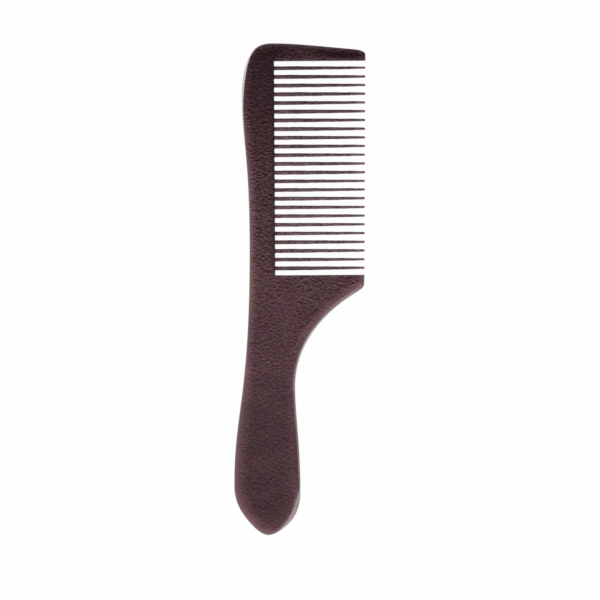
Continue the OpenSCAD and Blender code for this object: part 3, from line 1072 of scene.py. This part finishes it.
def wood_material(name, tooth):
    """Wood of the teeth or of the body, with its grain in colour and in bump."""
    wood = Wood(name)
    place = wood.scaled(wood.node("ShaderNodeTexCoord").outputs["Object"], 1 / MM)
    split = wood.node("ShaderNodeSeparateXYZ")
    wood.link(place, split.inputs[0])
    x, y = split.outputs[0], split.outputs[1]
    relief, flanks = wood.grain(place)
    shader = wood.node("ShaderNodeBsdfPrincipled", IOR=WOOD_IOR)
    shader.inputs["Specular IOR Level"].default_value = WOOD_SPECULAR
    shader.inputs["Coat Roughness"].default_value = COAT_ROUGHNESS
    shader.inputs["Coat IOR"].default_value = COAT_IOR

    force = wood.ramp(y, *FORCE_HANDLE_Y)
    force = wood.times(force, wood.ramp(y, *FORCE_MIDDLE_Y))
    force = wood.times(force, wood.ramp(y, *FORCE_HEAD_Y))
    if tooth:
        force = wood.times(force, FORCE_TOOTH)
        height = wood.times(relief, force)
        tone = tooth_tone(wood, y)
        shader.inputs["Coat Weight"].default_value = TOOTH_COAT
        shader.inputs["Roughness"].default_value = TOOTH_ROUGHNESS
    else:
        side = wood.attribute("side")
        force = wood.times(force, wood.ramp(wood.attribute("edge_light"), *FORCE_EDGE_LIGHT))
        force = wood.times(force, wood.ramp(wood.attribute("gleam"), *FORCE_GLEAM))
        height = wood.times(wood.times(relief, force), wood.ramp(side, *BUMP_SIDE))
        tone = body_tone(wood, x, y, side)
        coat = wood.times(wood.ramp(side, *BODY_COAT_SIDE), wood.ramp(y, *BODY_COAT_Y))
        wood.link(coat, shader.inputs["Coat Weight"])
        wood.link(wood.ramp(side, *BODY_ROUGHNESS_SIDE), shader.inputs["Roughness"])

    tone = wood.blend(wood.ramp(wood.noise(place, MOTTLE), *MOTTLE_DARK), tone, DARK)
    drift = wood.math("SUBTRACT", wood.noise(place, DRIFT, DRIFT_DETAIL), NOISE_MEAN)
    # Grain in colour, with painted relief shading on its flanks and greyish painted glints on the
    # light ones
    swing = wood.scaled(SWING, wood.times(flanks, force))
    swing = wood.vector("ADD", swing, wood.scaled(DRIFT_TINT, drift))
    contrast = wood.vector("MAXIMUM", wood.vector("ADD", swing, PLAIN), LEAST)
    wood.link(wood.vector("MULTIPLY", tone, contrast), shader.inputs["Base Color"])

    bump = wood.node("ShaderNodeBump", Strength=BUMP_STRENGTH, Distance=BUMP_DEPTH)
    wood.link(height, bump.inputs["Height"])
    wood.link(bump.outputs[0], shader.inputs["Normal"])
    end = wood.node("ShaderNodeOutputMaterial")
    wood.link(shader.outputs[0], end.inputs[0])
    return wood.material


def mix_shaders(tree, factor, a, b):
    """Mix of two shaders by a socket."""
    both = tree.nodes.new("ShaderNodeMixShader")
    for socket, source in zip(both.inputs, (factor, a, b)):
        tree.links.new(source, socket)
    return both.outputs[0]


def seen_rays(tree):
    """1 for rays from the camera and for reflected and refracted ones."""
    path = tree.nodes.new("ShaderNodeLightPath")
    total = path.outputs["Is Camera Ray"]
    for key in ("Is Glossy Ray", "Is Transmission Ray"):
        most = add(tree.nodes, "ShaderNodeMath", operation="MAXIMUM")
        tree.links.new(total, most.inputs[0])
        tree.links.new(path.outputs[key], most.inputs[1])
        total = most.outputs[0]
    return total


def build_floor():
    """White floor that shows nearly white and keeps a faint shadow."""
    mesh = bpy.data.meshes.new("floor")
    signs = ((-1, -1), (1, -1), (1, 1), (-1, 1))
    corners = [(sx * FLOOR_HALF, sy * FLOOR_HALF, FLOOR_Z) for sx, sy in signs]
    mesh.from_pydata(corners, [], [(0, 1, 2, 3)])
    floor = bpy.data.objects.new("floor", mesh)
    bpy.context.scene.collection.objects.link(floor)
    material = bpy.data.materials.new("white_floor")
    material.use_nodes = True
    tree = material.node_tree
    tree.nodes.clear()
    plain = add(tree.nodes, "ShaderNodeBsdfDiffuse", Color=FLOOR_GREY)
    glow = add(tree.nodes, "ShaderNodeEmission", Color=WHITE, Strength=1.0)
    shown = add(tree.nodes, "ShaderNodeMixShader", Fac=FLOOR_GLOW_SHARE)
    tree.links.new(plain.outputs[0], shown.inputs[1])
    tree.links.new(glow.outputs[0], shown.inputs[2])
    both = mix_shaders(tree, seen_rays(tree), plain.outputs[0], shown.outputs[0])
    end = tree.nodes.new("ShaderNodeOutputMaterial")
    tree.links.new(both, end.inputs[0])
    mesh.materials.append(material)


def build_world():
    """Soft studio surroundings: white to the camera, brighter low down than overhead."""
    world = bpy.data.worlds.new("studio")
    bpy.context.scene.world = world
    world.use_nodes = True
    tree = world.node_tree
    tree.nodes.clear()
    where = tree.nodes.new("ShaderNodeTexCoord")
    split = tree.nodes.new("ShaderNodeSeparateXYZ")
    tree.links.new(where.outputs["Generated"], split.inputs[0])
    level = add_range(tree.nodes, *WORLD_LIGHT)
    tree.links.new(split.outputs[2], level.inputs["Value"])
    light = add(tree.nodes, "ShaderNodeBackground", Color=WHITE)
    tree.links.new(level.outputs["Result"], light.inputs["Strength"])
    white = add(tree.nodes, "ShaderNodeBackground", Color=WHITE, Strength=1.0)
    both = mix_shaders(tree, seen_rays(tree), light.outputs[0], white.outputs[0])
    end = tree.nodes.new("ShaderNodeOutputWorld")
    tree.links.new(both, end.inputs[0])


def build_lamp(name, place, watts):
    """Large soft lamp that shines at the comb's middle."""
    data = bpy.data.lights.new(name, "AREA")
    data.shape = "RECTANGLE"
    data.size = data.size_y = LAMP_SIZE
    data.energy = watts
    lamp = bpy.data.objects.new(name, data)
    lamp.location = place
    lamp.rotation_mode = "QUATERNION"
    lamp.rotation_quaternion = Vector(place).to_track_quat("Z", "Y")
    lamp.visible_camera = False
    lamp.visible_glossy = False
    bpy.context.scene.collection.objects.link(lamp)


def build_camera():
    """Camera straight above the comb, turned a little so that the comb leans in the picture."""
    data = bpy.data.cameras.new("camera")
    data.lens = LENS
    data.sensor_width = SENSOR
    data.clip_end = CLIP_END
    camera = bpy.data.objects.new("camera", data)
    height = VIEW_W * MM / 2 / (SENSOR / 2 / LENS) + (COMB_T - EDGE_H) * MM
    camera.location = (VIEW_CENTRE[0], VIEW_CENTRE[1], height)
    camera.rotation_euler = (0.0, 0.0, math.radians(VIEW_TURN))
    bpy.context.scene.collection.objects.link(camera)
    bpy.context.scene.camera = camera


build_camera()
body = build_body()
body.data.materials.append(wood_material("body_wood", False))
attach(body, "root")
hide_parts("comb_body")
tooth_finish = wood_material("tooth_wood", True)
for number in range(1, TOOTH_N + 1):
    piece = build_tooth(number)
    piece.data.materials.append(tooth_finish)
    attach(piece, "root")
    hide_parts("tooth_%02d" % number)

build_floor()
build_world()
build_lamp("left_lamp", *LEFT_LAMP)
build_lamp("front_lamp", *FRONT_LAMP)
bpy.context.scene.view_settings.view_transform = "Standard"
